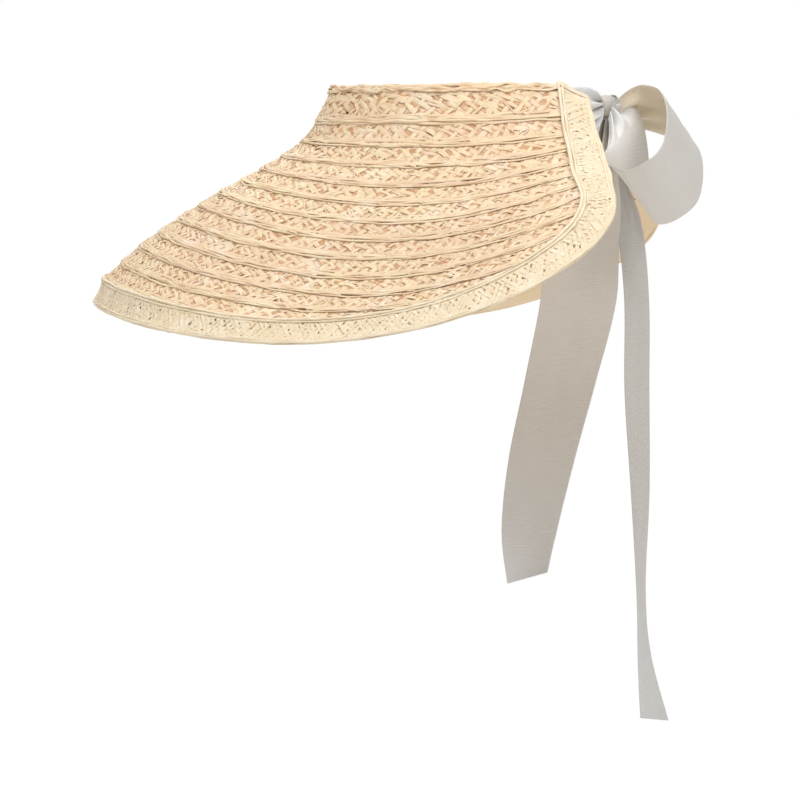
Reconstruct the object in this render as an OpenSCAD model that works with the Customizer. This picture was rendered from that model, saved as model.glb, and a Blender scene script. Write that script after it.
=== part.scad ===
// Straw sun visor: rows of plaited straw braid sewn edge to edge, a paler edge braid all
// round the rim, and a wide ribbon tied in a bow at the back.
// Millimetres. Front is -Y, the wearer's left is +X, and Z = 0 is the top edge of the crown.

/* [Crown] */
// Half of the crown's width, from ear to ear
crown_half_width = 82; // [74:0.5:88]
// Half of the crown's length, from front to back
crown_half_length = 96; // [92:0.5:105]
// Width of the upright crown braid
crown_braid_width = 26.5; // [22:0.5:30]

/* [Brim] */
// Width of one brim braid
brim_braid_width = 16.1; // [14:0.1:17]
// Width of the edge braid at the front
edge_braid_width = 18.5; // [14:0.5:20]
// Thickness of a brim braid
braid_thickness = 2.4; // [1.6:0.1:3]
// Thickness of the edge braid
edge_thickness = 3.2; // [2.4:0.1:4]

/* [Ribbon] */
// Width of the ribbon
ribbon_width = 51; // [44:1:54]
// Thickness of the folded ribbon solids
ribbon_thickness = 1.2; // [0.8:0.1:1.6]
// Width of the ribbon where the knot gathers it
gathered_width = 11; // [8:1:14]
// Width of the inner sweatband
sweatband_width = 22; // [18:1:24]

/* [Hidden] */

straw = [0.93, 0.82, 0.64];
straw_warm = [0.90, 0.76, 0.56];
straw_pale = [0.96, 0.91, 0.80];
ribbon_ivory = [0.86, 0.84, 0.80];
thread_cream = [0.95, 0.93, 0.88];

gap = 0.3;
brim_braids = 11;
brim_width = crown_braid_width + brim_braids * brim_braid_width;

// Downward slope of the visor, in degrees, at these distances from the top edge.
// It is given on three meridians: the front, the sides and the back ends.
profile_at = [0, 26, 50, 90, 150, 200, 226];
slope_front = [67, 63, 34, 28, 35, 44, 61];
slope_side = [75, 72, 55, 41, 43, 24, 15];
slope_back = [60, 54, 31, 16, 20, 20, 14];
back_meridian = 1.6;

// The outline where the braids are cut off, as an angle round the head from the front. It
// falls in a straight line down the back end to corner_at, then rounds into the rim.
end_angle = 130.5;
end_lean = -0.1;
corner_at = 104;
corner_turn = 81.5;
corner_power = 2.57;
lean_fade = 24;
round_steps = 22;
corner_steps = 22;
rim_steps = 10;

function mix(a, b, t) = a + (b - a) * t;
function ease(t) = t * t * (3 - 2 * t);
function unit(v) = v / norm(v);
function sum(v, i = 0) = i < len(v) ? v[i] + sum(v, i + 1) : 0;

// Slope at distance w and angle th: a parabola through the three meridians.
function slope(w, th) =
    let (m = 1 - cos(th), k = back_meridian)
    lookup(w, [for (i = [0:6]) [profile_at[i], slope_front[i]]]) * (m - 1) * (m - k) / k
    + lookup(w, [for (i = [0:6]) [profile_at[i], slope_side[i]]]) * m * (m - k) / (1 - k)
    + lookup(w, [for (i = [0:6]) [profile_at[i], slope_back[i]]]) * m * (m - 1) / (k * (k - 1));

// Direction that points straight out of the crown at angle th.
function outward(th) = unit([crown_half_length * sin(th), -crown_half_width * cos(th), 0]);

// A point of the visor: distance w down from the top edge, angle th, d outside the mid layer.
function visor(w, th, d = 0) =
    let (n = 12,
         reach = w / n * sum([for (i = [0:n - 1]) cos(slope(w * (i + 0.5) / n, th))]),
         drop = w / n * sum([for (i = [0:n - 1]) sin(slope(w * (i + 0.5) / n, th))]),
         s = slope(w, th),
         out = outward(th))
    [crown_half_width * sin(th), -crown_half_length * cos(th), 0]
    + out * (reach + d * sin(s)) + [0, 0, d * cos(s) - drop];

// The lean of the back end dies out over lean_fade on either side of corner_at.
function leaning(w) =
    w < corner_at - lean_fade ? w
    : w > corner_at + lean_fade ? corner_at
    : w - pow(w - corner_at + lean_fade, 2) / (4 * lean_fade);

// Angle of the outline at distance w.
function outline_angle(w) =
    let (t = max(0, min(1, (w - corner_at) / (brim_width - corner_at))))
    end_angle + end_lean * leaning(w)
    - corner_turn * (1 - pow(1 - pow(t, corner_power), 1 / corner_power));

// The same outline by steps along it: 0 to 1 down the back end, 1 to 2 round the corner,
// 2 to 3 along the rim to the front. Gives [w, th].
function outline_point(q) =
    let (a = 90 * (q - 1),
         w = q <= 1 ? corner_at * q
             : corner_at + (brim_width - corner_at) * pow(sin(a), 2 / corner_power))
    q <= 1 ? [w, end_angle + end_lean * leaning(w)]
    : q <= 2 ? [w, end_angle + end_lean * leaning(w)
                   - corner_turn * (1 - pow(cos(a), 2 / corner_power))]
    : [brim_width, (end_angle + end_lean * corner_at - corner_turn) * (3 - q)];

// A closed solid from a grid of points: rows of the outer face, then rows of the inner face.
module sheet_solid(outer, inner) {
    rows = len(outer);
    cols = len(outer[0]);
    points = concat([for (r = outer) each r], [for (r = inner) each r]);
    back = rows * cols;
    faces = concat(
        [for (i = [0:rows - 2], j = [0:cols - 2])
            [i * cols + j, i * cols + j + 1, (i + 1) * cols + j + 1, (i + 1) * cols + j]],
        [for (i = [0:rows - 2], j = [0:cols - 2])
            [back + i * cols + j, back + (i + 1) * cols + j,
             back + (i + 1) * cols + j + 1, back + i * cols + j + 1]],
        [for (j = [0:cols - 2]) [j + 1, j, back + j, back + j + 1]],
        [for (j = [0:cols - 2])
            let (a = (rows - 1) * cols + j) [a, a + 1, back + a + 1, back + a]],
        [for (i = [0:rows - 2])
            [i * cols, (i + 1) * cols, back + (i + 1) * cols, back + i * cols]],
        [for (i = [0:rows - 2])
            let (a = i * cols + cols - 1) [a + cols, a, back + a, back + a + cols]]);
    triangles = [for (f = faces) each [[f[0], f[1], f[2]], [f[0], f[2], f[3]]]];
    polyhedron(points, triangles);
}

// The braids stop a little inside the outline: their last angle at distance w, and how far
// down they reach at angle th, found by halving the range 20 times.
inset = 1;
inset_angle = 0.3;

function braid_end(w) = outline_angle(w + inset) - inset_angle;

function braid_reach(th, low = 0, high = brim_width, n = 20) =
    let (middle = (low + high) / 2)
    n == 0 ? low
    : braid_end(middle) > th ? braid_reach(th, middle, high, n - 1)
    : braid_reach(th, low, middle, n - 1);

// One braid between distances w0 and w1, cut off at both ends just inside the inner outline.
// Beyond the angle where its lower edge meets the outline, it narrows to a blunt tip.
module braid(w0, w1) {
    lines = 5;
    tip_width = 0.6;
    top = w0 + gap / 2;
    low = w1 - gap / 2;
    full = braid_end(low);
    tip = braid_end(top + tip_width);
    end_steps = max(3, round((tip - full) / 2.4));
    half = concat([for (j = [1:round_steps]) full * j / round_steps],
                  [for (j = [1:end_steps]) mix(full, tip, j / end_steps)]);
    angles = concat([for (j = [len(half) - 1:-1:0]) -half[j]], [0], half);
    bottom = [for (th = angles)
        abs(th) <= full ? low : min(low, max(top + tip_width, braid_reach(abs(th))))];
    faces = [for (d = [1, -1] * braid_thickness / 2)
        [for (k = [0:lines]) [for (j = [0:len(angles) - 1])
            visor(mix(top, bottom[j], k / lines), angles[j], d)]]];
    sheet_solid(faces[0], faces[1]);
}

module crown_braid() {
    color(straw) braid(0, crown_braid_width);
}

// Brim braid number n, counted from 2 below the crown braid.
module brim_braid(n) {
    start = crown_braid_width + (n - 2) * brim_braid_width;
    color(n % 2 == 0 ? straw : straw_warm) braid(start, start + brim_braid_width);
}

// The edge braid starts on the inner outline. It is tilted down from the brim's surface by
// these angles, at these steps along the outline, and its width is this share of the nominal.
edge_tilt = [[0, -6], [0.5, -8], [0.9, -6], [1.1, 2], [1.3, 16], [1.6, 14], [2, 10], [3, 20]];
edge_share = [[0, 1.03], [0.5, 1.14], [0.9, 1.2], [1.1, 1.1], [1.3, 1], [2, 0.97], [3, 0.82]];
// Its top corners are folded down by this share of its width.
corner_fold = 0.45;

function outline_xyz(q) = let (p = outline_point(q)) visor(p[0], p[1]);

// Point of the edge braid: s from -3 at the right end over 0 at the front to 3 at the left
// end, v across the braid from the inner outline, d outside its mid layer.
function edge_point(s, v, d) =
    let (q = 3 - abs(s),
         here = outline_xyz(q),
         a = outline_point(q),
         along = unit(outline_xyz(min(q + 0.01, 3)) - outline_xyz(max(q - 0.01, 0))),
         up = unit(visor(a[0], a[1], 1) - here),
         out = unit(cross(up, along)),
         tilt = lookup(q, edge_tilt),
         slant = corner_fold * max(0, 1 - q / 0.3),
         p = here + (out * cos(tilt) - up * sin(tilt) + along * slant)
             * edge_braid_width * lookup(q, edge_share) * v
             + (up * cos(tilt) + out * sin(tilt)) * d)
    [s < 0 ? -p[0] : p[0], p[1], p[2]];

module edge_braid() {
    half = concat([for (i = [1:rim_steps]) i / rim_steps],
                  [for (i = [1:corner_steps]) 1 + i / corner_steps],
                  [for (i = [1:rim_steps]) 2 + i / rim_steps]);
    stations = concat([for (i = [len(half) - 1:-1:0]) -half[i]], [0], half);
    across = [0.035, 0.35, 0.68, 1];
    faces = [for (d = [1, -1] * edge_thickness / 2)
        [for (v = across) [for (s = stations) edge_point(s, v, d)]]];
    color(straw_pale) sheet_solid(faces[0], faces[1]);
}

// The sweatband lies inside the crown braid.
band_out = -braid_thickness / 2 - 0.5;
band_in = band_out - 0.9;
band_top = 2;
band_half_angle = 112;

module sweatband() {
    rows = [band_top, band_top + sweatband_width];
    steps = 24;
    color(ribbon_ivory) sheet_solid(
        [for (w = rows) [for (j = [-steps:steps]) visor(w, band_half_angle * j / steps, band_out)]],
        [for (w = rows) [for (j = [-steps:steps]) visor(w, band_half_angle * j / steps, band_in)]]);
}

// Small thread bar lying on the inner face of the visor, d inside the mid layer.
module stitch(w, th, d, long, angle) {
    p = visor(w, th, d);
    o = outward(th);
    translate(p) rotate([0, 0, atan2(o[1], o[0])]) rotate([0, slope(w, th) - 90, 0])
        rotate([angle, 0, 0]) cube([0.5, long, 0.7], center = true);
}

module sweatband_stitches() {
    count = 36;
    color(thread_cream) for (i = [0:count])
        stitch(band_top + sweatband_width - 2.5, mix(-106, 106, i / count), band_in - 0.5, 3.4, 0);
}

// A ribbon solid through lines of points that run along it, from one edge to the other.
module ribbon(lines, thick = ribbon_thickness) {
    n = len(lines[0]);
    last = len(lines) - 1;
    sides = [for (k = [0:last]) [for (i = [0:n - 1])
        let (along = lines[k][min(i + 1, n - 1)] - lines[k][max(i - 1, 0)],
             across = lines[min(k + 1, last)][i] - lines[max(k - 1, 0)][i])
        unit(cross(along, across)) * thick / 2]];
    sheet_solid([for (k = [0:last]) [for (i = [0:n - 1]) lines[k][i] - sides[k][i]]],
                [for (k = [0:last]) [for (i = [0:n - 1]) lines[k][i] + sides[k][i]]]);
}

// Smooth curve through the points p, with n steps between neighbours.
function curve(p, n) =
    let (last = len(p) - 1)
    concat([for (i = [0:last - 1], k = [0:n - 1])
        let (t = k / n, a = p[max(i - 1, 0)], b = p[i], c = p[i + 1], d = p[min(i + 2, last)])
        0.5 * (2 * b + (c - a) * t + (2 * a - 5 * b + 4 * c - d) * t * t
               + (3 * b - a - 3 * c + d) * t * t * t)], [p[last]]);

knot_at = [0, 86, -14];
knot_half = [8, 6.5, 7];

// The tie runs from the inside of the visor's end to the knot, and narrows as it gathers.
// Its lines: distance down the visor where it is sewn, then the points on its free way.
tie_inset = -4;
tie_lines = [[2, [42, 74, -1.5], [26, 81, -4], -9],
             [14, [44, 75, -12], [27, 82, -12], -11.9],
             [26, [46, 76.5, -23], [28, 82.5, -20], -14.8],
             [34, [48, 78, -30], [28, 83, -26], -16.8],
             [43, [50, 79, -37], [29, 84, -31], -19]];

module tie(side) {
    end_x = knot_half[0] + 1.2;
    lines = [for (p = tie_lines) curve(concat(
        [for (th = [113, 119, 125]) visor(p[0], side * th, tie_inset)],
        [[side * p[1][0], p[1][1], p[1][2]], [side * p[2][0], p[2][1], p[2][2]],
         [side * end_x, knot_at[1] - 3.5, p[3]]]), 4)];
    color(ribbon_ivory) ribbon(side > 0 ? lines : [for (k = [4:-1:0]) lines[k]]);
}

// Two bars of thread that hold the tie to the visor's end.
module tie_stitches(side) {
    inside = tie_inset - ribbon_thickness / 2 - 0.5;
    color(thread_cream) for (th = [115, 121], k = [0:6])
        stitch(6 + 5.5 * k, side * th, inside, 3.2, 90);
}

module knot() {
    color(ribbon_ivory) translate(knot_at) intersection() {
        hull() {
            for (x = [-1, 1], z = [-1, 1])
                translate([x * (knot_half[0] - 4), 0, z * (knot_half[2] - 4)])
                    sphere(r = 4, $fn = 24);
            for (x = [-1, 1])
                translate([x * (knot_half[0] - 5), 0, 0]) sphere(r = 5, $fn = 24);
        }
        cube(2 * knot_half, center = true);
    }
}

// Loop of the bow. The points are the middle of the ribbon, relative to the knot. The unit
// direction across the ribbon is across[0] at the start, across[1] and then across[2].
function root(t, share = 0.2) = ease(min(1, t / share));

module bow_loop(points, across, turn_share = 0.2, gather_share = 0.2) {
    path = curve(points, 4);
    last = len(path) - 1;
    wide = [for (i = [0:last])
        mix(gathered_width, ribbon_width,
            min(root(i / last), root(1 - i / last, gather_share))) / 2];
    dir = [for (i = [0:last]) unit(mix(mix(across[0], across[1], root(i / last)),
                                       across[2], 1 - root(1 - i / last, turn_share)))];
    lines = [for (v = [-1, 0, 1]) [for (i = [0:last]) knot_at + path[i] + dir[i] * wide[i] * v]];
    color(ribbon_ivory) ribbon(lines);
}

// The left loop is an open oval. Its long axis points out to the wearer's left and down.
left_across = unit([-0.61, 0.42, -0.70]);
left_long = unit(cross(cross(left_across, [0.76, -0.06, -0.65]), left_across));
left_short = cross(left_across, left_long);
// Oval points: along the long axis, along the short axis, and towards the far edge.
left_oval = [[-28, 19, 8], [-32, -2, 20], [-20, -16, 21], [7, -24, 21],
             [36, -23, 22], [48, -9, 22], [45, 6, 23], [27, 16, 24], [-5, 16, 7]];
left_start = [-30, 30, 0];

module loop_left() {
    oval = [for (p = left_oval) (p - left_start)[0] * left_long
        + (p - left_start)[1] * left_short + p[2] * left_across];
    bow_loop(concat([[2.5, knot_half[1] + 1.6, 2]], oval, [[knot_half[0] + 4, 5.5, -3]]),
             [[-1, 0, 0], left_across, [-0.6, 0.23, 0.77]], 0.28, 0.1);
}

module loop_right() {
    side = -knot_half[0] - 1.4;
    bow_loop([[side, 4, 3], [-23, 5, -8], [-43, 12, -24], [-48, 20, -38], [-48, 34, -45],
              [-48, 46, -52], [-48, 46, -64], [-48, 34, -66], [-45, 22, -54], [-25, 8, -25],
              [side, 0, 0.5]],
             [[0, 0.3, 0.95], [1, 0, 0], [0, 0.3, 0.95]]);
}

// Tails of the bow: middle points relative to the knot and the turn of the ribbon's face
// about the vertical at each point, with 0 for a ribbon that spans from front to back.
module tail(points, turns, tip_slant) {
    path = curve(points, 4);
    turn = curve(turns, 4);
    last = len(path) - 1;
    wide = [for (i = [0:last]) mix(gathered_width, ribbon_width, ease(min(1, i / 8))) / 2];
    tip = [for (i = [0:last]) tip_slant * max(0, i - last + 4) / 4];
    lines = [for (v = [-1, 0, 1]) [for (i = [0:last])
        knot_at + path[i] + [sin(turn[i]), cos(turn[i]), 0] * wide[i] * v - [0, 0, tip[i] * v]]];
    color(ribbon_ivory) ribbon(lines);
}

module tail_left() {
    tail([[4.5, 0, -8.2], [9, -6, -42], [10, -14, -86], [11, -16, -128], [13, -27.6, -181],
          [15, -40, -234], [18, -48, -282], [18, -49, -313]],
         [0, 0, 3, 3, 16, 25, 38, 52], -6);
}

module tail_right() {
    tail([[-2.5, 1, -8.4], [-13, 4, -40], [-24, 14, -78], [-28, 19, -128], [-28, 19.5, -190],
          [-28, 22, -260], [-28, 22.7, -325], [-28, 25, -370], [-28, 32, -412]],
         [-70, -82, -77, -77, -77, -82, -89, -86, -74], 4);
}

crown_braid();
brim_braid(2);  // brim_braid_02
brim_braid(3);  // brim_braid_03
brim_braid(4);  // brim_braid_04
brim_braid(5);  // brim_braid_05
brim_braid(6);  // brim_braid_06
brim_braid(7);  // brim_braid_07
brim_braid(8);  // brim_braid_08
brim_braid(9);  // brim_braid_09
brim_braid(10);  // brim_braid_10
brim_braid(11);  // brim_braid_11
brim_braid(12);  // brim_braid_12
edge_braid();
sweatband();
sweatband_stitches();
tie(1);  // tie_left
tie(-1);  // tie_right
tie_stitches(1);  // tie_stitches_left
tie_stitches(-1);  // tie_stitches_right
knot();
loop_left();
loop_right();
tail_left();
tail_right();
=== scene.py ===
import math
import bpy
import numpy as np
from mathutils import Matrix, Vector


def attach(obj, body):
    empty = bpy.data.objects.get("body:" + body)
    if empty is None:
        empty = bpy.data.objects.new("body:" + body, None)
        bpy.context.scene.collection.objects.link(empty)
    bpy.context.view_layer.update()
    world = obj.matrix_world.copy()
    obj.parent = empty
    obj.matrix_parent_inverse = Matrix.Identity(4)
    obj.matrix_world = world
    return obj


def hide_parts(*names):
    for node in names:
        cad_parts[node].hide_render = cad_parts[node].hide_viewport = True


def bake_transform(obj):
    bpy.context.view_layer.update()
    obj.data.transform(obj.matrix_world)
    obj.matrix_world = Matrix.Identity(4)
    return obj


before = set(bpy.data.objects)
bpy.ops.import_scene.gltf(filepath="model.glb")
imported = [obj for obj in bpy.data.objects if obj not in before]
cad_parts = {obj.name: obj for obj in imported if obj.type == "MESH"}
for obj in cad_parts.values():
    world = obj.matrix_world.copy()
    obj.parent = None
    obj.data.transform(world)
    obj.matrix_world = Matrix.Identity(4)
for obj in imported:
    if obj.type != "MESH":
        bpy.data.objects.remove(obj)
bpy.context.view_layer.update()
MM = 0.001  # the working unit below is the millimetre, turned into metres in each mesh

# Sizes of the visor, the same as in part.scad.
HALF_WIDTH, HALF_LENGTH = 82, 96
CROWN_BRAID, BRIM_BRAID, BRIM_BRAIDS, EDGE_BRAID = 26.5, 16.1, 11, 18.5
BRIM = CROWN_BRAID + BRIM_BRAIDS * BRIM_BRAID
PROFILE_AT = [0, 26, 50, 90, 150, 200, 226]
SLOPE_FRONT = [67, 63, 34, 28, 35, 44, 61]
SLOPE_SIDE = [75, 72, 55, 41, 43, 24, 15]
SLOPE_BACK = [60, 54, 31, 16, 20, 20, 14]
BACK_MERIDIAN = 1.6
END_ANGLE, END_LEAN, LEAN_FADE = 130.5, -0.1, 24
CORNER_AT, CORNER_TURN, CORNER_POWER = 104, 81.5, 2.57
RIBBON, GATHERED, SWEATBAND = 51, 11, 22
KNOT = np.array([0, 86, -14])
KNOT_HALF = [8, 6.5, 7]


def unit(v):
    return v / np.linalg.norm(v, axis=-1, keepdims=True)


def ease(t):
    t = np.clip(t, 0, 1)
    return t * t * (3 - 2 * t)


def mix(a, b, t):
    return a + (b - a) * t


# ---------------------------------------------------------------- camera, light and floor

ROOM_FILL = 0.36  # share of the white backdrop's brightness that lights the visor
FLOOR_REACH, FLOOR_HEIGHT = 12, -2.2  # metres; low enough to look up at the brim


def add_camera():
    azimuth, elevation, distance = math.radians(99), math.radians(3.2), 2.6
    aim = Vector((0.0195, -0.0484, -0.2089))
    back = Vector((math.sin(azimuth) * math.cos(elevation),
                   -math.cos(azimuth) * math.cos(elevation), math.sin(elevation)))
    data = bpy.data.cameras.new("camera")
    data.sensor_width, data.lens = 36, 175.5
    camera = bpy.data.objects.new("camera", data)
    camera.location = aim + back * distance
    camera.rotation_mode = "QUATERNION"
    camera.rotation_quaternion = (-back).to_track_quat("-Z", "Y")
    bpy.context.scene.collection.objects.link(camera)
    bpy.context.scene.camera = camera


def add_softbox(name, azimuth, elevation, distance, size, power):
    """A square area light aimed at the middle of the visor."""
    a, e = math.radians(azimuth), math.radians(elevation)
    back = Vector((math.sin(a) * math.cos(e), -math.cos(a) * math.cos(e), math.sin(e)))
    data = bpy.data.lights.new(name, "AREA")
    data.size, data.energy = size, power
    light = bpy.data.objects.new(name, data)
    light.location = Vector((0, -0.03, -0.12)) + back * distance
    light.rotation_mode = "QUATERNION"
    light.rotation_quaternion = (-back).to_track_quat("-Z", "Y")
    bpy.context.scene.collection.objects.link(light)


def white_room(fill):
    """A white backdrop all round that lights the visor with only part of its brightness."""
    world = bpy.data.worlds.new("studio")
    world.use_nodes = True
    tree = world.node_tree
    backdrop = tree.nodes["Background"]
    backdrop.inputs["Color"].default_value = (1, 1, 1, 1)
    light = tree.nodes.new("ShaderNodeBackground")
    light.inputs["Color"].default_value = (1, 1, 1, 1)
    light.inputs["Strength"].default_value = fill
    path, mixer = tree.nodes.new("ShaderNodeLightPath"), tree.nodes.new("ShaderNodeMixShader")
    tree.links.new(path.outputs["Is Camera Ray"], mixer.inputs[0])
    tree.links.new(light.outputs[0], mixer.inputs[1])
    tree.links.new(backdrop.outputs[0], mixer.inputs[2])
    tree.links.new(mixer.outputs[0], tree.nodes["World Output"].inputs["Surface"])
    return world


def add_studio():
    scene = bpy.context.scene
    scene.view_settings.view_transform = "Standard"
    scene.world = white_room(ROOM_FILL)
    add_softbox("key", 62, 60, 1.6, 0.9, 15)
    add_softbox("back", 140, 40, 1.6, 0.7, 10)
    add_softbox("far_side", -75, 45, 1.8, 0.9, 11)
    reach = FLOOR_REACH
    mesh = bpy.data.meshes.new("floor")
    mesh.from_pydata([(-reach, -reach, 0), (reach, -reach, 0), (reach, reach, 0),
                      (-reach, reach, 0)], [], [(0, 1, 2, 3)])
    floor = bpy.data.objects.new("floor", mesh)
    floor.location.z = FLOOR_HEIGHT
    bpy.context.scene.collection.objects.link(floor)
    material = bpy.data.materials.new("floor_white")
    material.use_nodes = True
    shader = material.node_tree.nodes["Principled BSDF"]
    shader.inputs["Base Color"].default_value = (0.93, 0.93, 0.93, 1)
    shader.inputs["Roughness"].default_value = 0.8
    shader.inputs["Emission Color"].default_value = (1, 1, 1, 1)
    shader.inputs["Emission Strength"].default_value = 0.72
    mesh.materials.append(material)


add_camera()
add_studio()


# ---------------------------------------------------------------- materials

class Nodes:
    """Short ways to add and join nodes of one material."""

    def __init__(self, name):
        self.material = bpy.data.materials.new(name)
        self.material.use_nodes = True
        self.tree = self.material.node_tree
        self.shader = self.tree.nodes["Principled BSDF"]

    def add(self, kind, **settings):
        node = self.tree.nodes.new(kind)
        for key, value in settings.items():
            setattr(node, key, value)
        return node

    def join(self, source, target):
        self.tree.links.new(source, target)

    def attribute(self, name):
        return self.add("ShaderNodeAttribute", attribute_name=name).outputs["Fac"]

    def stretched(self, along, across):
        """UV coordinates, in metres along and across a strip, times these scales."""
        uv = self.add("ShaderNodeUVMap", uv_map="length")
        scale = self.add("ShaderNodeMapping")
        scale.inputs["Scale"].default_value = (along, across, 1)
        self.join(uv.outputs["UV"], scale.inputs["Vector"])
        return scale.outputs["Vector"]

    def noise(self, vector, scale, detail=3, roughness=0.5):
        node = self.add("ShaderNodeTexNoise")
        node.inputs["Scale"].default_value = scale
        node.inputs["Detail"].default_value = detail
        node.inputs["Roughness"].default_value = roughness
        self.join(vector, node.inputs["Vector"])
        return node.outputs["Fac"]

    def math(self, operation, a, b=0.0, clamp=False):
        node = self.add("ShaderNodeMath", operation=operation, use_clamp=clamp)
        for value, socket in zip((a, b), node.inputs):
            if isinstance(value, (int, float)):
                socket.default_value = value
            else:
                self.join(value, socket)
        return node.outputs[0]

    def ramp(self, value, stops):
        node = self.add("ShaderNodeValToRGB")
        for i, (at, colour) in enumerate(stops):
            element = (node.color_ramp.elements[i] if i < 2
                       else node.color_ramp.elements.new(at))
            element.position, element.color = at, (*colour, 1)
        self.join(value, node.inputs["Fac"])
        return node.outputs["Color"]

    def blend(self, factor, a, b, kind="MIX"):
        node = self.add("ShaderNodeMix", data_type="RGBA", blend_type=kind)
        colours = [s for s in node.inputs if s.type == "RGBA"]
        for value, socket in zip((a, b), colours):
            if isinstance(value, tuple):
                socket.default_value = (*value, 1)
            else:
                self.join(value, socket)
        if isinstance(factor, float):
            node.inputs[0].default_value = factor
        else:
            self.join(factor, node.inputs[0])
        return [s for s in node.outputs if s.type == "RGBA"][0]

    def bump(self, height, distance, strength=1.0):
        node = self.add("ShaderNodeBump")
        node.inputs["Distance"].default_value = distance
        node.inputs["Strength"].default_value = strength
        self.join(height, node.inputs["Height"])
        self.join(node.outputs["Normal"], self.shader.inputs["Normal"])


# Painted shade: the browner tan of the strips' undersides, for the shade inside the visor.
UNDERSIDE_SHADE_TAN = (0.66, 0.49, 0.29)


def straw_material(name, pale, peach, shade_colour):
    """Raffia: fine fibres along each strip, colour that drifts from strip to strip and over
    the visor, bleached patches, painted shade (deep orange-brown) where strips dive under each
    other and beside strips that lie over them, and painted shade as a browner underside where
    the shading value is below 0."""
    n = Nodes(name)
    place = n.add("ShaderNodeTexCoord").outputs["Object"]
    fibre = n.noise(n.stretched(60, 2600), 1.0, 4, 0.6)
    patch = n.noise(place, 22, 2)
    by_place = n.math("MULTIPLY", n.math("SUBTRACT", patch, 0.5), 1.1)
    by_fibre = n.math("MULTIPLY", n.math("SUBTRACT", fibre, 0.5), 0.7)
    drift = n.math("ADD", n.attribute("tint"), by_place)
    drift = n.math("ADD", drift, by_fibre, clamp=True)
    colour = n.blend(drift, pale, peach)
    streak = n.ramp(fibre, [(0.32, (0.74, 0.63, 0.48)), (0.6, (1, 1, 1))])
    colour = n.blend(0.8, colour, streak, "MULTIPLY")
    bleached = n.ramp(n.noise(place, 55, 3), [(0.52, (0, 0, 0)), (0.68, (0.3, 0.3, 0.3))])
    colour = n.blend(bleached, colour, (0.95, 0.87, 0.72))
    # Painted shade: a positive shading value turns the colour orange-brown at strip edges,
    # under crossings and beside strips lying over others.
    painted_shading = n.math("MULTIPLY", n.attribute("painted_shading"), 1.0, clamp=True)
    colour = n.blend(painted_shading, colour, shade_colour)
    # Painted shade: a negative shading value gives the tan underside.
    underside_shade = n.math("MULTIPLY", n.attribute("painted_shading"), -1.0, clamp=True)
    colour = n.blend(underside_shade, colour, UNDERSIDE_SHADE_TAN)
    n.join(colour, n.shader.inputs["Base Color"])
    n.shader.inputs["Roughness"].default_value = 0.55
    n.shader.inputs["Specular IOR Level"].default_value = 0.35
    n.bump(fibre, 0.0004, 0.6)
    return n.material


def ribbon_material(name, light, shade, painted_light, painted_bounce, rib=0.0011):
    """Grosgrain: fine ribs across the ribbon, a soft sheen, and slight changes along it.
    Painted light makes it a brighter near-white by the tint value, mostly near the knot, and a
    painted warm bounce light from the straw makes it warmer by the shading value."""
    n = Nodes(name)
    uv = n.add("ShaderNodeUVMap", uv_map="length").outputs["UV"]
    axes = n.add("ShaderNodeSeparateXYZ")
    n.join(uv, axes.inputs[0])
    ribs = n.math("SINE", n.math("MULTIPLY", axes.outputs["X"], 2 * math.pi / rib))
    threads = n.math("SINE", n.math("MULTIPLY", axes.outputs["Y"], 2 * math.pi / 0.0007))
    slub = n.noise(n.stretched(900, 90), 1.0, 3)
    cloud = n.noise(n.stretched(25, 40), 1.0, 2)
    weave = n.math("ADD", n.math("MULTIPLY", ribs, 0.35), n.math("MULTIPLY", threads, 0.12))
    factor = n.math("ADD", n.math("MULTIPLY", weave, 0.35), n.math("MULTIPLY", slub, 0.5))
    factor = n.math("ADD", factor, n.math("MULTIPLY", cloud, 0.55), clamp=True)
    colour = n.blend(factor, shade, light)
    # Painted light: a near-white by the tint value, and a painted warm bounce light from the
    # straw by the shading value.
    colour = n.blend(n.math("MULTIPLY", n.attribute("tint"), 1.0, clamp=True), colour, painted_light)
    colour = n.blend(n.math("MULTIPLY", n.attribute("painted_shading"), 1.0, clamp=True), colour, painted_bounce)
    n.join(colour, n.shader.inputs["Base Color"])
    n.shader.inputs["Roughness"].default_value = 0.62
    n.shader.inputs["Specular IOR Level"].default_value = 0.3
    n.shader.inputs["Sheen Weight"].default_value = 0.25
    n.shader.inputs["Sheen Roughness"].default_value = 0.4
    n.bump(n.math("ADD", weave, n.math("MULTIPLY", slub, 0.4)), 0.00018, 0.8)
    return n.material


def thread_material():
    n = Nodes("thread")
    twist = n.noise(n.stretched(2500, 900), 1.0, 2)
    colour = n.blend(twist, (0.62, 0.58, 0.50), (0.86, 0.83, 0.76))
    n.join(colour, n.shader.inputs["Base Color"])
    n.shader.inputs["Roughness"].default_value = 0.5
    n.bump(twist, 0.0001)
    return n.material


# The straws' last colour is painted shade; the grosgrain's third colour is a painted highlight
# and its fourth a painted warm bounce light from the straw.
straw = straw_material("straw", (0.88, 0.73, 0.50), (0.83, 0.61, 0.45), (0.56, 0.29, 0.13))
pale_straw = straw_material("pale_straw", (0.90, 0.80, 0.62), (0.86, 0.70, 0.48),
                            (0.50, 0.35, 0.18))
grosgrain = ribbon_material("grosgrain", (0.62, 0.585, 0.53), (0.51, 0.475, 0.42),
                            (0.90, 0.90, 0.90), (0.86, 0.74, 0.54))
thread = thread_material()


# ---------------------------------------------------------------- mesh helpers

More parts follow.
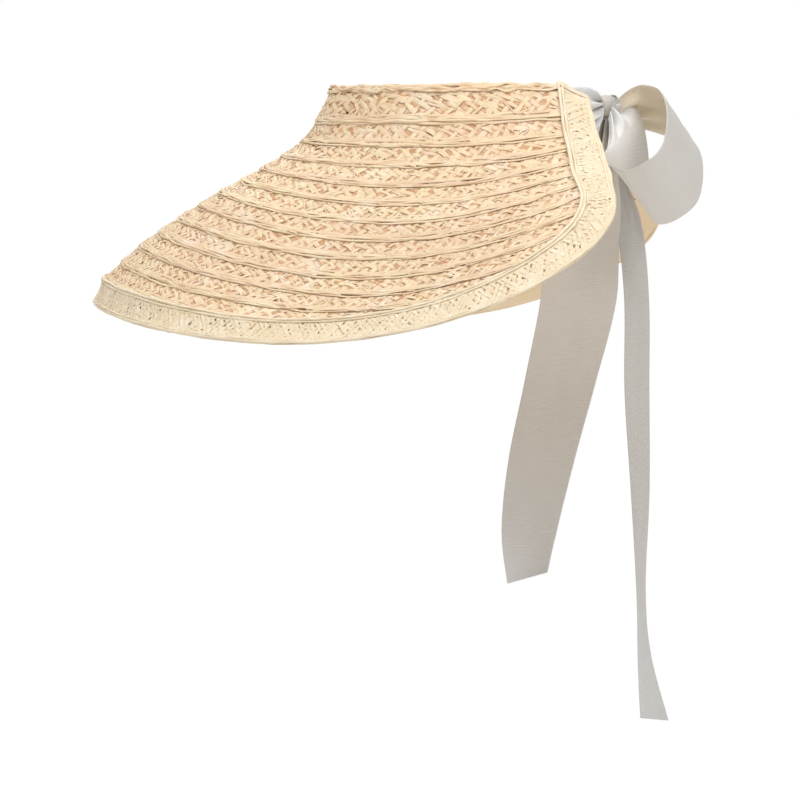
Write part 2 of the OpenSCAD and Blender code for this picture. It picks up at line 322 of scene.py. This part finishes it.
class Pile:
    """Many strips that end up as one mesh, with a length map and values at each point."""

    def __init__(self):
        self.points, self.faces, self.maps, self.tints, self.shadings = [], [], [], [], []
        self.count = 0

    def add(self, points, maps, tint, painted_shading, closed=True):
        """A grid of points, rows along it. A closed one is a tube, whose ends are capped."""
        rows, cols = points.shape[:2]
        index = self.count + np.arange(rows * cols).reshape(rows, cols)
        a, b = index[:-1], index[1:]
        if closed:
            a2, b2 = np.roll(a, -1, 1), np.roll(b, -1, 1)
        else:
            a, b, a2, b2 = a[:, :-1], b[:, :-1], a[:, 1:], b[:, 1:]
        self.faces += np.stack([a, a2, b2, b], -1).reshape(-1, 4).tolist()
        if closed:
            self.faces.append(index[0, ::-1].tolist())
            self.faces.append(index[-1].tolist())
        self.points.append(points.reshape(-1, 3))
        self.maps.append(maps.reshape(-1, 2))
        self.tints.append(np.broadcast_to(tint, (rows, cols)).reshape(-1))
        self.shadings.append(np.broadcast_to(painted_shading, (rows, cols)).reshape(-1))
        self.count += rows * cols

    def mesh(self, name, material):
        mesh = bpy.data.meshes.new(name)
        mesh.from_pydata((np.concatenate(self.points) * MM).tolist(), [], self.faces)
        for key, values in (("tint", self.tints), ("painted_shading", self.shadings)):
            layer = mesh.attributes.new(key, "FLOAT", "POINT")
            layer.data.foreach_set("value", np.concatenate(values).astype(np.float32))
        corner = np.empty(len(mesh.loops), np.int32)
        mesh.loops.foreach_get("vertex_index", corner)
        uv = mesh.uv_layers.new(name="length")
        maps = (np.concatenate(self.maps) * MM)[corner]
        uv.data.foreach_set("uv", maps.astype(np.float32).ravel())
        mesh.shade_smooth()
        mesh.materials.append(material)
        piece = bpy.data.objects.new(name, mesh)
        bpy.context.scene.collection.objects.link(piece)
        return piece


def wander(rng, n, step, reach, amount):
    """Smooth random values at n points step apart, that change over about reach."""
    knots = rng.normal(0, amount, int(n * step / reach) + 4)
    at = np.arange(n) * step / reach + 1
    i = np.clip(at.astype(int), 1, len(knots) - 3)
    return mix(knots[i], knots[i + 1], ease(at - i))


# Cross-section of a straw strip: across it, then up from its middle layer.
SECTION = np.array([(-1, 0.1), (-0.72, 0.62), (-0.36, 0.9), (0, 1), (0.36, 0.9), (0.72, 0.62),
                    (1, 0.1), (0.6, -0.3), (0, -0.38), (-0.6, -0.3)])
UNDERSIDE_SHADE = -0.7  # the painted shade value on the underside of a strip


def strip(pile, place, keep, rng, u, v, d, width, height, tint, under_shade=None, beside_shade=None):
    """A flat straw strip along the points (u, v), in millimetres along and across a braid."""
    n = len(u)
    du, dv = np.gradient(u), np.gradient(v)
    long = np.hypot(du, dv) + 1e-9
    nu, nv = -dv / long, du / long
    step = long.mean()
    width = width * (1 + wander(rng, n, step, 14, 0.12))
    x = SECTION[:, 0] * width[:, None] / 2
    roll = wander(rng, n, step, 8, 0.13)
    ridge = np.stack([wander(rng, n, step, 6, 0.2) for _ in SECTION], 1) * (SECTION[:, 1] > 0.3)
    pu, pv = u[:, None] + x * nu[:, None], v[:, None] + x * nv[:, None]
    pd = d[:, None] + height * (SECTION[:, 1] + ridge) + roll[:, None] * x
    # Painted shade: orange-brown in patches along the strip's edges, where it dives under other
    # strips, beside strips lying over it, and the tan underside.
    edge_shade = ease(0.4 + wander(rng, n, step, 8, 0.5))[:, None]
    painted_shading = np.clip(np.abs(SECTION[:, 0]) - 0.6, 0, 1) * edge_shade + 0 * pu
    if under_shade is not None:
        painted_shading += under_shade[:, None]
    if beside_shade is not None:
        painted_shading += beside_shade(pu, pv)
    painted_shading[:, SECTION[:, 1] < 0] = UNDERSIDE_SHADE
    tint = tint + wander(rng, n, step, 20, 0.12)
    maps = np.stack([np.cumsum(long)[:, None] + 0 * x, x + rng.uniform(0, 500)], -1)
    inside = keep(u, v)
    edges = np.flatnonzero(np.diff(np.concatenate([[0], inside.astype(int), [0]])))
    for a, b in zip(edges[::2], edges[1::2]):
        if b - a > 3:
            pile.add(place(pu[a:b], pv[a:b], pd[a:b]), maps[a:b], tint[a:b, None], painted_shading[a:b])


class Plait:
    """The zigzag of a strip across a braid: long on its way down, short on its way back. It
    also says where the strip lies over the others, at 1, and where it dives under, at -1."""

    def __init__(self, strands, skew, round_off=0.96):
        self.skew, self.round_off = skew, round_off
        turn = np.linspace(0, 2 * math.pi, 4001)
        here = self.share(turn)
        marks = [0, 2 * math.pi, turn[np.argmax(here)]]
        for j in range(1, strands):
            gap = here - self.share(turn + 2 * math.pi * j / strands)
            marks += list(turn[np.flatnonzero(np.diff(np.sign(gap)))])
        self.marks = np.unique(np.round(marks, 2))
        self.strands = strands

    def warped(self, phase):
        return phase + self.skew * (np.cos(phase) - 1)

    def share(self, phase):
        wave = np.arcsin(self.round_off * np.cos(self.warped(phase)))
        return 0.5 - 0.5 * wave / math.asin(self.round_off)

    def over(self, phase):
        turn = np.mod(phase, 2 * math.pi)
        count = np.interp(turn, self.marks, np.linspace(0, 2 * self.strands, len(self.marks)))
        return np.cos(math.pi * count) * np.tanh(3 * np.sin(self.warped(turn)))


# ---------------------------------------------------------------- the visor's surface

def slope(w, th):
    m, k = 1 - np.cos(np.radians(th)), BACK_MERIDIAN
    return (np.interp(w, PROFILE_AT, SLOPE_FRONT) * (m - 1) * (m - k) / k
            + np.interp(w, PROFILE_AT, SLOPE_SIDE) * m * (m - k) / (1 - k)
            + np.interp(w, PROFILE_AT, SLOPE_BACK) * m * (m - 1) / (k * (k - 1)))


def visor(w, th, d=0.0):
    """Point w down from the crown's top edge, th degrees round from the front, d outside."""
    w, th, d = np.broadcast_arrays(np.asarray(w, float), np.asarray(th, float),
                                   np.asarray(d, float))
    reach, drop = 0, 0
    for i in range(12):
        s = np.radians(slope(w * (i + 0.5) / 12, th))
        reach, drop = reach + w * np.cos(s) / 12, drop + w * np.sin(s) / 12
    s, r = np.radians(slope(w, th)), np.radians(th)
    out = unit(np.stack([HALF_LENGTH * np.sin(r), -HALF_WIDTH * np.cos(r)], -1))
    far = reach + d * np.sin(s)
    return np.stack([HALF_WIDTH * np.sin(r) + out[..., 0] * far,
                     -HALF_LENGTH * np.cos(r) + out[..., 1] * far, d * np.cos(s) - drop], -1)


def leaning(w):
    """The back end's lean dies out over LEAN_FADE on either side of CORNER_AT."""
    fade = np.clip(w - CORNER_AT + LEAN_FADE, 0, 2 * LEAN_FADE)
    return np.minimum(w, CORNER_AT + LEAN_FADE) - fade ** 2 / (4 * LEAN_FADE)


def outline_angle(w):
    """Angle round the head at which the rows are cut off, at distance w."""
    t = np.clip((w - CORNER_AT) / (BRIM - CORNER_AT), 0, 1)
    return (END_ANGLE + END_LEAN * leaning(w)
            - CORNER_TURN * (1 - (1 - t ** CORNER_POWER) ** (1 / CORNER_POWER)))


def outline_point(q):
    """The outline by steps: 0 to 1 down the back end, to 2 round the corner, to 3 in front."""
    a = np.pi / 2 * np.clip(q - 1, 0, 1)
    w = np.where(q <= 1, CORNER_AT * np.clip(q, 0, 1),
                 CORNER_AT + (BRIM - CORNER_AT) * np.sin(a) ** (2 / CORNER_POWER))
    end = END_ANGLE + END_LEAN * leaning(w)
    th = np.where(q <= 1, end, end - CORNER_TURN * (1 - np.cos(a) ** (2 / CORNER_POWER)))
    return w, np.where(q <= 2, th, (end - CORNER_TURN) * (3 - q))


EDGE_TUCK = 1.6


class Row:
    """Places points of one sewn row: u along it from the front, v down from its upper edge."""

    def __init__(self, start, width):
        self.start, self.width = start, width
        self.angles = np.linspace(-136, 136, 545)
        line = visor(start + width / 2, self.angles)
        steps = np.linalg.norm(np.diff(line, axis=0), axis=1)
        self.along = np.concatenate([[0], np.cumsum(steps)])
        self.along -= self.along[-1] / 2
        self.end = np.interp(outline_angle(start), self.angles, self.along) + 4

    def angle(self, u):
        return np.interp(u, self.along, self.angles)

    def place(self, u, v, d):
        return visor(self.start + v, self.angle(u), d)

    def keep(self, u, v):
        """True where a point is at most EDGE_TUCK millimetres under the edge braid."""
        over = np.abs(self.angle(u)) - outline_angle(self.start + v)
        return over * math.pi / 180 * (HALF_WIDTH + 0.8 * self.start) < EDGE_TUCK


STRAW_STEP, EDGE_STEP = 1.3, 1.4  # distance between points along the rows' and edge's strips
# Smooth strands along a row's lower edge: place past that edge, width, height above the
# braid and thickness.
LOWER_EDGE = [(-4.4, 2.2, 0.25, 0.5), (-2.6, 2.5, 0.4, 0.55), (-0.9, 2.1, 0.5, 0.55),
              (0.6, 1.9, 0.1, 0.5)]
# Strands rolled over the crown's top edge: place down from it, height, width and thickness.
TOP_ROLL = [(2.0, 0.5, 2.2, 0.8), (1.3, -0.5, 2.2, 0.8), (3.4, 0.8, 2.4, 0.7),
            (2.4, -1.2, 2.4, 0.7), (4.8, 0.7, 2.2, 0.6), (2.6, 1.0, 1.6, 0.6)]


def braid_row(name, number, start, width):
    """One row of plaited straw: flat pinkish strips below, cream strips plaited over them
    with small gaps, smooth strands along its lower edge that lap over the next row, and a
    few frayed ends."""
    rng = np.random.default_rng(100 + number)
    row, pile = Row(start, width), Pile()
    first = number == 1
    step = STRAW_STEP
    u = np.arange(-row.end, row.end, step)
    n, strands = len(u), 6 if first else 4
    pitch = 58 if first else 36 - 0.6 * number
    sway = wander(rng, n, step, 26, 2.2)
    top, bottom = (4.5, 22.5) if first else (0.4, width - 2.6)
    plait = Plait(strands, 0.5)
    lean = math.atan(2 * (bottom - top) / pitch)
    leg = pitch / strands * math.sin(lean)

    def lap(v):
        return mix(-0.7, 0.4, np.clip(v / width, 0, 1))

    def phase(j, shift):
        return 2 * math.pi * ((u + sway) / pitch + j / strands + shift)

    wide = leg * 0.74
    over = []
    for j in range(strands):
        p = phase(j, 0) + wander(rng, n, step, 12, 0.32)
        v = mix(top, bottom, plait.share(p)) + wander(rng, n, step, 8, 0.6)
        over.append((p, v))

    def shade_beside_over_strip(pu, pv):
        """Painted shade beside a strip that lies over a point: how close the point is to that
        strip's edge, from 0 to 1.
        """
        gap = np.min([np.abs(pv - np.interp(pu, u, v)) for _, v in over], axis=0)
        return 0.8 * (1 - ease((gap * math.cos(lean) - wide / 2) / 1.1))

    for j in range(strands):
        p = phase(j, 0.5 / strands) + wander(rng, n, step, 18, 0.12)
        v = mix(top - 0.4, bottom + 0.8, plait.share(p))
        strip(pile, row.place, row.keep, rng, u, v, lap(v) - 0.2 + 0.2 * plait.over(p),
              leg * 1.16, 0.35, 0.75 + rng.normal(0, 0.15), None, shade_beside_over_strip)
    for p, v in over:
        weave = plait.over(p)
        # Painted shade where the strip dives under the others, in patches.
        dive_shade = 0.55 * ease(-weave * 1.3) * ease(0.5 + wander(rng, n, step, 7, 0.7))
        strip(pile, row.place, row.keep, rng, u, v, lap(v) + 0.22 + 0.3 * weave,
              wide * (1 + wander(rng, n, step, 15, 0.25)), 0.4, 0.25 + rng.normal(0, 0.2), dive_shade)
    # The lower-edge strands carry painted shade in patches, for the shadow lines along the
    # row's lower edge.
    for past, size, rise, tall in LOWER_EDGE:
        v = width + past + wander(rng, n, step, 13, 0.5)
        d = lap(v) + rise + wander(rng, n, step, 9, 0.16)
        strip(pile, row.place, row.keep, rng, u, v, d, size, tall, 0.3 + rng.normal(0, 0.2),
              0.35 * ease(wander(rng, n, step, 8, 0.5)))
    if first:
        # The rolled strands carry painted shade in patches.
        for v0, d0, size, tall in TOP_ROLL:
            v = v0 + wander(rng, n, step, 7, 0.75)
            d = d0 + wander(rng, n, step, 6, 0.4)
            strip(pile, row.place, row.keep, rng, u, v, d, size, tall,
                  0.35 + rng.normal(0, 0.2), 0.45 * ease(wander(rng, n, step, 6, 0.6)))
    else:
        # The top strand carries painted shade, for the shade of the row above that laps over
        # it.
        v = 0.6 + wander(rng, n, step, 18, 0.3)
        strip(pile, row.place, row.keep, rng, u, v, lap(v) + 0.3 + 0 * u, 2.4, 0.5, 0.5,
              0.2 + 0 * u)
    for _ in range(int(row.end / 3)):
        at, long = rng.uniform(-row.end, row.end), rng.uniform(4, 12)
        turn = rng.choice([-1, 1]) * rng.uniform(0.1, 1.0)
        t = np.linspace(0, 1, 8)
        v = np.clip(rng.uniform(1, width - 1) + long * t * math.sin(turn), 0.5, width)
        arch = 0.45 + rng.uniform(0.1, 0.5) * (1 - (2 * t - 1) ** 2)
        strip(pile, row.place, row.keep, rng, at + long * t * math.cos(turn), v, lap(v) + arch,
              rng.uniform(0.7, 1.8), 0.25, rng.uniform(0, 0.8))
    piece = pile.mesh(name, straw)
    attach(piece, "visor")
    return piece


for number in range(1, BRIM_BRAIDS + 2):
    if number == 1:
        node, start, width = "crown_braid", 0, CROWN_BRAID
    else:
        node = f"brim_braid_{number:02d}"
        start, width = CROWN_BRAID + (number - 2) * BRIM_BRAID, BRIM_BRAID
    piece = braid_row(f"straw_row_{number:02d}", number, start, width)
    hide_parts(node)


# ---------------------------------------------------------------- the edge braid

EDGE_TILT = np.array([[0, -6], [0.5, -8], [0.9, -6], [1.1, 2], [1.3, 16], [1.6, 14], [2, 10],
                      [3, 20]])
EDGE_SHARE = np.array([[0, 1.03], [0.5, 1.14], [0.9, 1.2], [1.1, 1.1], [1.3, 1], [2, 0.97],
                       [3, 0.82]])
CORNER_FOLD = 0.45


class Edge:
    """Places points of the edge braid: u along it from the front, v out from the inner
    outline as a share of its width."""

    def __init__(self):
        q = np.linspace(0, 3, 901)
        self.here = visor(*outline_point(q))
        ahead = visor(*outline_point(np.minimum(q + 0.01, 3)))
        self.along = unit(ahead - visor(*outline_point(np.maximum(q - 0.01, 0))))
        self.up = unit(visor(*outline_point(q), 1) - self.here)
        out = unit(np.cross(self.up, self.along))
        tilt = np.radians(np.interp(q, *EDGE_TILT.T))[:, None]
        slant = (CORNER_FOLD * np.maximum(0, 1 - q / 0.3))[:, None]
        self.wide = EDGE_BRAID * np.interp(q, *EDGE_SHARE.T)
        self.out = (out * np.cos(tilt) - self.up * np.sin(tilt) + self.along * slant)
        self.out *= self.wide[:, None]
        self.up = self.up * np.cos(tilt) + out * np.sin(tilt)
        middle = self.here + self.out * 0.5
        steps = np.linalg.norm(np.diff(middle, axis=0), axis=1)
        self.from_top = np.concatenate([[0], np.cumsum(steps)])
        self.half = self.from_top[-1]

    def place(self, u, v, d):
        at = self.half - np.abs(u)
        here, out, up = (
            np.stack([np.interp(at, self.from_top, values[:, k]) for k in range(3)], -1)
            for values in (self.here, self.out, self.up))
        point = here + out * np.asarray(v)[..., None] + up * np.asarray(d)[..., None]
        point[..., 0] *= np.where(u < 0, -1, 1)
        return point


def edge_braid():
    """A tight flat plait of narrow pale strips, with a smooth cord along both edges."""
    rng = np.random.default_rng(40)
    edge, pile = Edge(), Pile()
    step = EDGE_STEP
    u = np.arange(-edge.half, edge.half, step)
    n, strands, wide, pitch = len(u), 7, EDGE_BRAID, 27

    def place(pu, pv, pd):
        return edge.place(pu, pv / wide, pd)

    def keep(pu, pv):
        return np.abs(pu) < edge.half - 0.5

    def lap(v):
        return mix(1.5, 0.3, ease(v / 9))

    sway = wander(rng, n, step, 40, 1.2)
    low, high = -0.4, wide - 0.8
    plait = Plait(strands, 0.0)
    leg = pitch / strands * math.sin(math.atan(2 * (high - low) / pitch))
    for j in range(strands):
        p = 2 * math.pi * ((u + sway) / pitch + j / strands) + wander(rng, n, step, 12, 0.14)
        v = mix(low, high, plait.share(p)) + wander(rng, n, step, 9, 0.3)
        weave = plait.over(p)
        # Painted shade where the strip dives under the others, in patches.
        dive_shade = 0.3 * ease(-weave * 1.2) * ease(0.3 + wander(rng, n, step, 6, 0.6))
        strip(pile, place, keep, rng, u, v, lap(v) + 0.2 * weave, leg * 1.1, 0.4,
              0.25 + rng.normal(0, 0.22), dive_shade)
    v = np.linspace(-0.6, wide - 0.4, 12)
    backing = lap(v) - 0.6
    top_face = place(*np.broadcast_arrays(u[1:-1, None], v, backing))
    low_face = place(*np.broadcast_arrays(u[1:-1, None], v, backing - 0.5))
    ring = np.concatenate([top_face, low_face[:, ::-1]], 1)
    maps = np.stack(np.broadcast_arrays(u[1:-1, None], np.concatenate([v, v[::-1]])), -1)
    # Painted shade on the backing sheet: a little on its upper face under the plait, and the
    # tan underside.
    pile.add(ring, maps, 0.5, np.repeat([0.2, UNDERSIDE_SHADE], len(v)))
    for _ in range(220):
        at, long = rng.uniform(-edge.half + 12, edge.half - 12), rng.uniform(4, 10)
        turn = rng.choice([-1, 1]) * rng.uniform(0.1, 0.9)
        t = np.linspace(0, 1, 7)
        v = np.clip(rng.uniform(2, wide - 2) + long * t * math.sin(turn), 0.5, wide - 1)
        strip(pile, place, keep, rng, at + long * t * math.cos(turn), v, lap(v) + 0.35,
              rng.uniform(0.7, 1.6), 0.3, rng.uniform(0, 0.6))
    for v0, d0, size, tall in ((-0.8, 1.9, 2.1, 1.0), (1.4, 1.9, 1.7, 0.8),
                               (wide - 1.7, 0.5, 1.8, 0.8), (wide - 0.2, 0.3, 2.2, 1.1),
                               (wide + 0.2, -0.5, 1.8, 0.8)):
        v = v0 + wander(rng, n, step, 20, 0.18)
        d = d0 + wander(rng, n, step, 14, 0.12)
        strip(pile, place, keep, rng, u, v, d, size, tall, 0.1 + rng.normal(0, 0.08))
    for side in (-1, 1):
        v = np.linspace(-0.8, wide - 0.2, 20)
        u_end = side * (edge.half - 0.4) + 0 * v
        for shift, d0 in ((0, 0.9), (1.6, 1.1)):
            strip(pile, place, lambda a, b: np.abs(a) < 1e6, rng, u_end - side * shift, v,
                  mix(2.3, d0, ease(v / 9)), 2.0, 0.9, 0.15)
    piece = pile.mesh("straw_edge", pale_straw)
    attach(piece, "visor")
    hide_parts("edge_braid")


edge_braid()


# ---------------------------------------------------------------- ribbon

def curve(points, n):
    """Smooth curve through the points, with n steps between neighbours."""
    p = np.asarray(points, float)
    last, made = len(p) - 1, []
    for i in range(last):
        a, b, c, d = p[max(i - 1, 0)], p[i], p[i + 1], p[min(i + 2, last)]
        for k in range(n):
            t = k / n
            made.append(0.5 * (2 * b + (c - a) * t + (2 * a - 5 * b + 4 * c - d) * t * t
                               + (3 * b - a - 3 * c + d) * t ** 3))
    return np.array(made + [p[last]])


def grid_normals(grid):
    return unit(np.cross(np.gradient(grid, axis=0), np.gradient(grid, axis=1)) + 1e-12)


def pleated(grid, folds, phase=0.0, relief=0.0):
    """Gathers a ribbon: where the grid is narrower than the flat ribbon, the spare width
    stands up in folds. relief adds soft folds of that height that fade along the ribbon."""
    wide = np.linalg.norm(np.diff(grid, axis=1), axis=2).sum(1)
    k = np.linspace(0, 12, 200)
    angle = np.linspace(0, 2 * math.pi, 120)
    length = np.sqrt(1 + (k[:, None] * np.cos(angle)) ** 2).mean(1)
    steep = np.interp(np.maximum(RIBBON / wide, 1), length, k)
    tall = steep * wide / (2 * math.pi * folds)
    along = np.concatenate([[0], np.cumsum(np.linalg.norm(
        np.diff(grid[:, grid.shape[1] // 2], axis=0), axis=1))])
    tall = tall + relief * np.exp(-along / 45) * ease(along / 12)
    x = np.linspace(0, 1, grid.shape[1])
    wave = np.sin(2 * math.pi * folds * x + phase)
    wave = wave * np.sin(math.pi * np.clip(x, 0.04, 0.96)) ** 0.25
    return grid + grid_normals(grid) * (tall[:, None] * wave)[..., None]


def cloth(name, grid, node, length, thick=0.5, away=None, painted_light=0.0, painted_bounce=0.0):
    """Closed thin sheet over a grid of points, rows along the ribbon. The two painted-light
    amounts say how much each row has of a painted highlight, a near-white, and of a painted
    warm bounce light from the straw, the second on the sheet's lower face only."""
    pile = Pile()
    side = grid_normals(grid) * thick / 2
    ring = np.concatenate([grid + side, (grid - side)[:, ::-1]], 1)
    along = np.linspace(0, length, grid.shape[0])
    across = np.linspace(0, RIBBON, grid.shape[1])
    across = np.concatenate([across, across[::-1]])
    maps = np.stack(np.broadcast_arrays(along[:, None], across), -1)
    rows, below = len(grid), np.arange(ring.shape[1]) >= grid.shape[1]
    painted_light, painted_bounce = np.broadcast_to(painted_light, rows), np.broadcast_to(painted_bounce, rows)
    pile.add(ring, maps, painted_light[:, None], painted_bounce[:, None] * below)
    piece = pile.mesh(name, grosgrain)
    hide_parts(node)
    if away is None:
        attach(piece, "visor")
    else:
        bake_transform(piece)


def path_length(path):
    return float(np.linalg.norm(np.diff(path, axis=0), axis=1).sum())


TIE_INSET = -4
TIE_LINES = [[2, [42, 74, -1.5], [26, 81, -4], -9],
             [14, [44, 75, -12], [27, 82, -12], -11.9],
             [26, [46, 76.5, -23], [28, 82.5, -20], -14.8],
             [34, [48, 78, -30], [28, 83, -26], -16.8],
             [43, [50, 79, -37], [29, 84, -31], -19]]


def tie(side, name, node):
    end_x = KNOT_HALF[0] - 1
    lines = []
    for w, a, b, z in TIE_LINES:
        sewn = [visor(w, side * th, TIE_INSET) for th in (113, 119, 125)]
        free = [[side * a[0], a[1], a[2]], [side * b[0], b[1], b[2]],
                [side * end_x, KNOT[1] - 2.5, z]]
        lines.append(curve(sewn + free, 14))
    across = curve(np.stack(lines), 14)
    grid = np.swapaxes(across, 0, 1)[::-1]
    grid = pleated(grid, 4, 0.6, 0.7)
    if side > 0:
        grid = grid[:, ::-1]
    length = path_length(grid[:, grid.shape[1] // 2])
    # Painted light: the ties are painted a brighter near-white all along, for the light on them
    # beside the knot.
    cloth(name, grid, node, length, painted_light=0.8)


tie(1, "ribbon_tie_left", "tie_left")
tie(-1, "ribbon_tie_right", "tie_right")

LEFT_ACROSS = unit(np.array([-0.61, 0.42, -0.70]))
LEFT_LONG = unit(np.cross(np.cross(LEFT_ACROSS, [0.76, -0.06, -0.65]), LEFT_ACROSS))
LEFT_SHORT = np.cross(LEFT_ACROSS, LEFT_LONG)
LEFT_OVAL = np.array([[-28, 19, 8], [-32, -2, 20], [-20, -16, 21], [7, -24, 21],
                      [36, -23, 22], [48, -9, 22], [45, 6, 23], [27, 16, 24], [-5, 16, 7]])
LEFT_START = np.array([-30, 30, 0])


def bow_loop(name, points, directions, away, turn_share=0.2, gather_share=0.2,
             painted_bounce=0.0):
    path = curve(points, 18)
    last = len(path) - 1
    t = np.arange(last + 1) / last
    root, back = ease(5 * t), ease((1 - t) / turn_share)
    wide = mix(GATHERED, RIBBON, np.minimum(root, ease((1 - t) / gather_share))) / 2
    first, middle, final = (np.array(d, float) for d in directions)
    turn = unit(mix(mix(first, middle, root[:, None]), final, 1 - back[:, None]))
    x = np.linspace(-1, 1, 65)
    grid = KNOT + path[:, None] + turn[:, None] * (wide[:, None] * x)[..., None]
    grid = pleated(grid, 3, 0.4, 0.5)
    # Painted light: brighter towards the gathered ends by the knot, and on the left loop a
    # painted warm bounce light from the straw on the lower face of its first half.
    cloth(f"ribbon_{name}", grid, name, path_length(path),
          away=away, painted_light=0.75 * (1 - back) + 0.3 * (1 - root) + 0.12,
          painted_bounce=painted_bounce * ease((t - 0.06) / 0.1) * ease((0.52 - t) / 0.2))


left_points = [[2.5, KNOT_HALF[1] + 1.6, 2]]
for p in LEFT_OVAL:
    left_points.append((p - LEFT_START)[0] * LEFT_LONG + (p - LEFT_START)[1] * LEFT_SHORT
                       + p[2] * LEFT_ACROSS)
left_points.append([KNOT_HALF[0] + 4, 5.5, -3])
bow_loop("loop_left", left_points,
         [[-1, 0, 0], LEFT_ACROSS, [-0.6, 0.23, 0.77]],
         (KNOT + [4, 6, 0], KNOT + [16, 20, -6]), turn_share=0.28, gather_share=0.1, painted_bounce=0.8)
SIDE = -KNOT_HALF[0] - 1.4
bow_loop("loop_right",
         [[SIDE, 4, 3], [-23, 5, -8], [-43, 12, -24], [-48, 20, -38], [-48, 34, -45],
          [-48, 46, -52], [-48, 46, -64], [-48, 34, -66], [-45, 22, -54], [-25, 8, -25],
          [SIDE, 0, 0.5]],
         [[0, 0.3, 0.95], [1, 0, 0], [0, 0.3, 0.95]],
         (KNOT + [-8, 1, 0], KNOT + [-22, 8, -12]))


def bow_tail(name, points, turns, tip_slant, away):
    path, turn = curve(points, 18), np.radians(curve(turns, 18))
    last = len(path) - 1
    t = np.arange(last + 1) / 4.5
    wide = mix(GATHERED, RIBBON, ease(t / 8)) / 2
    tip = tip_slant * np.clip((t - t[-1] + 4) / 4, 0, 1)
    x = np.linspace(-1, 1, 65)
    turn = np.stack([np.sin(turn), np.cos(turn), 0 * turn], -1)
    grid = KNOT + path[:, None] + turn[:, None] * (wide[:, None] * x)[..., None]
    grid[..., 2] -= tip[:, None] * x
    grid = pleated(grid, 3, 1.1, 0.6)
    # Painted light: each tail is painted brighter over its lower half, so its top stays darker,
    # for the shade under the visor and bow.
    cloth(f"ribbon_{name}", grid, name, path_length(path), away=away,
          painted_light=0.5 * ease(2 * t / t[-1] - 1) - 0.1)


bow_tail("tail_left",
         [[4.5, 0, -8.2], [9, -6, -42], [10, -14, -86], [11, -16, -128],
          [13, -27.6, -181], [15, -40, -234], [18, -48, -282], [18, -49, -313]],
         [0, 0, 3, 3, 16, 25, 38, 52], -6, (KNOT + [4, 0, -7], KNOT + [6, -3, -30]))
bow_tail("tail_right",
         [[-2.5, 1, -8.4], [-13, 4, -40], [-24, 14, -78], [-28, 19, -128],
          [-28, 19.5, -190], [-28, 22, -260], [-28, 22.7, -325], [-28, 25, -370],
          [-28, 32, -412]],
         [-70, -82, -77, -77, -77, -82, -89, -86, -74], 4,
         (KNOT + [-2, 1, -7], KNOT + [-8, 3, -30]))


def knot():
    """The ribbon's wrap round the middle of the bow: a gathered band with slanting folds."""
    pile = Pile()
    turn = np.radians(np.linspace(0, 360, 97))[:-1]
    x = np.linspace(-1, 1, 49)
    a, s = np.meshgrid(turn, x)
    fold = np.sin(2 * math.pi * (1.9 * s + 0.35 * np.sin(a + 0.8))) * 0.55
    fold = fold + 0.2 * np.sin(9 * s + 2 * a)
    swell = (1 - np.abs(s) ** 3.2) ** 0.45
    round_y = np.sign(np.cos(a)) * np.abs(np.cos(a)) ** 0.8
    round_z = np.sign(np.sin(a)) * np.abs(np.sin(a)) ** 0.8
    grid = np.stack([s * KNOT_HALF[0] * 1.02, round_y * (KNOT_HALF[1] + 0.2 + fold) * swell,
                     round_z * (KNOT_HALF[2] + 0.2 + fold) * swell], -1) + KNOT
    maps = np.stack([a * 7, s * 25], -1)
    pile.add(grid, maps, 0.0, 0.0)
    piece = pile.mesh("knot_wrap", grosgrain)
    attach(piece, "visor")
    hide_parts("knot")


knot()


def sweatband():
    """Grosgrain band inside the crown braid, sewn along its lower edge."""
    rng = np.random.default_rng(7)
    th = np.linspace(-112, 112, 400)
    w = np.linspace(2, 2 + SWEATBAND, 15)
    ripple = wander(rng, len(th), 1, 14, 0.15)[:, None] * np.sin(np.pi * (w - 2) / SWEATBAND)
    grid = visor(w[None, :], th[:, None], -2.15 + ripple)
    length = path_length(grid[:, 7])
    pile = Pile()
    side = grid_normals(grid) * 0.4
    ring = np.concatenate([grid + side, (grid - side)[:, ::-1]], 1)
    along = np.linspace(0, length, len(th))
    across = np.concatenate([w, w[::-1]])
    pile.add(ring, np.stack(np.broadcast_arrays(along[:, None], across), -1), 0.0, 0.0)
    piece = pile.mesh("inner_band", grosgrain)
    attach(piece, "visor")
    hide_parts("sweatband")


sweatband()


def stitch_piece(name, node, places):
    """Short rounded bars of thread lying on the ribbon, each from a start to an end point."""
    pile = Pile()
    around = np.linspace(0, 2 * math.pi, 9)[:-1]
    for start, end, up in places:
        t = np.linspace(0, 1, 9)
        along = unit(end - start)
        side = np.cross(up, along)
        radius = 0.36 * np.sin(np.pi * np.clip(t, 0.12, 0.88)) ** 0.5
        lift = 0.25 * np.sin(np.pi * t)
        middle = start + (end - start) * t[:, None] + up * lift[:, None]
        ring = middle[:, None] + radius[:, None, None] * (
            np.cos(around)[:, None] * side + 0.8 * np.sin(around)[:, None] * up)
        maps = np.stack(np.broadcast_arrays(t[:, None] * 3.4, around * 0.4), -1)
        pile.add(ring, maps, 0.0, 0.0)
    piece = pile.mesh(name, thread)
    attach(piece, "visor")
    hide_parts(node)


def inside_bar(w, th, d, half_w, half_th):
    """A bar on the visor's inner face, half its length down it and round it."""
    start, end = visor(w - half_w, th - half_th, d), visor(w + half_w, th + half_th, d)
    up = unit(visor(w, th, d - 1) - visor(w, th, d))
    return start, end, up


stitch_piece("band_stitches", "sweatband_stitches",
             [inside_bar(SWEATBAND - 0.5, th, -2.75, 0, 1.1)
              for th in np.linspace(-106, 106, 37)])
for side, name, node in ((1, "tie_left_stitches", "tie_stitches_left"),
                         (-1, "tie_right_stitches", "tie_stitches_right")):
    stitch_piece(name, node, [inside_bar(6 + 5.5 * k, side * th, TIE_INSET - 0.45, 1.6, 0)
                              for th in (115, 121) for k in range(7)])
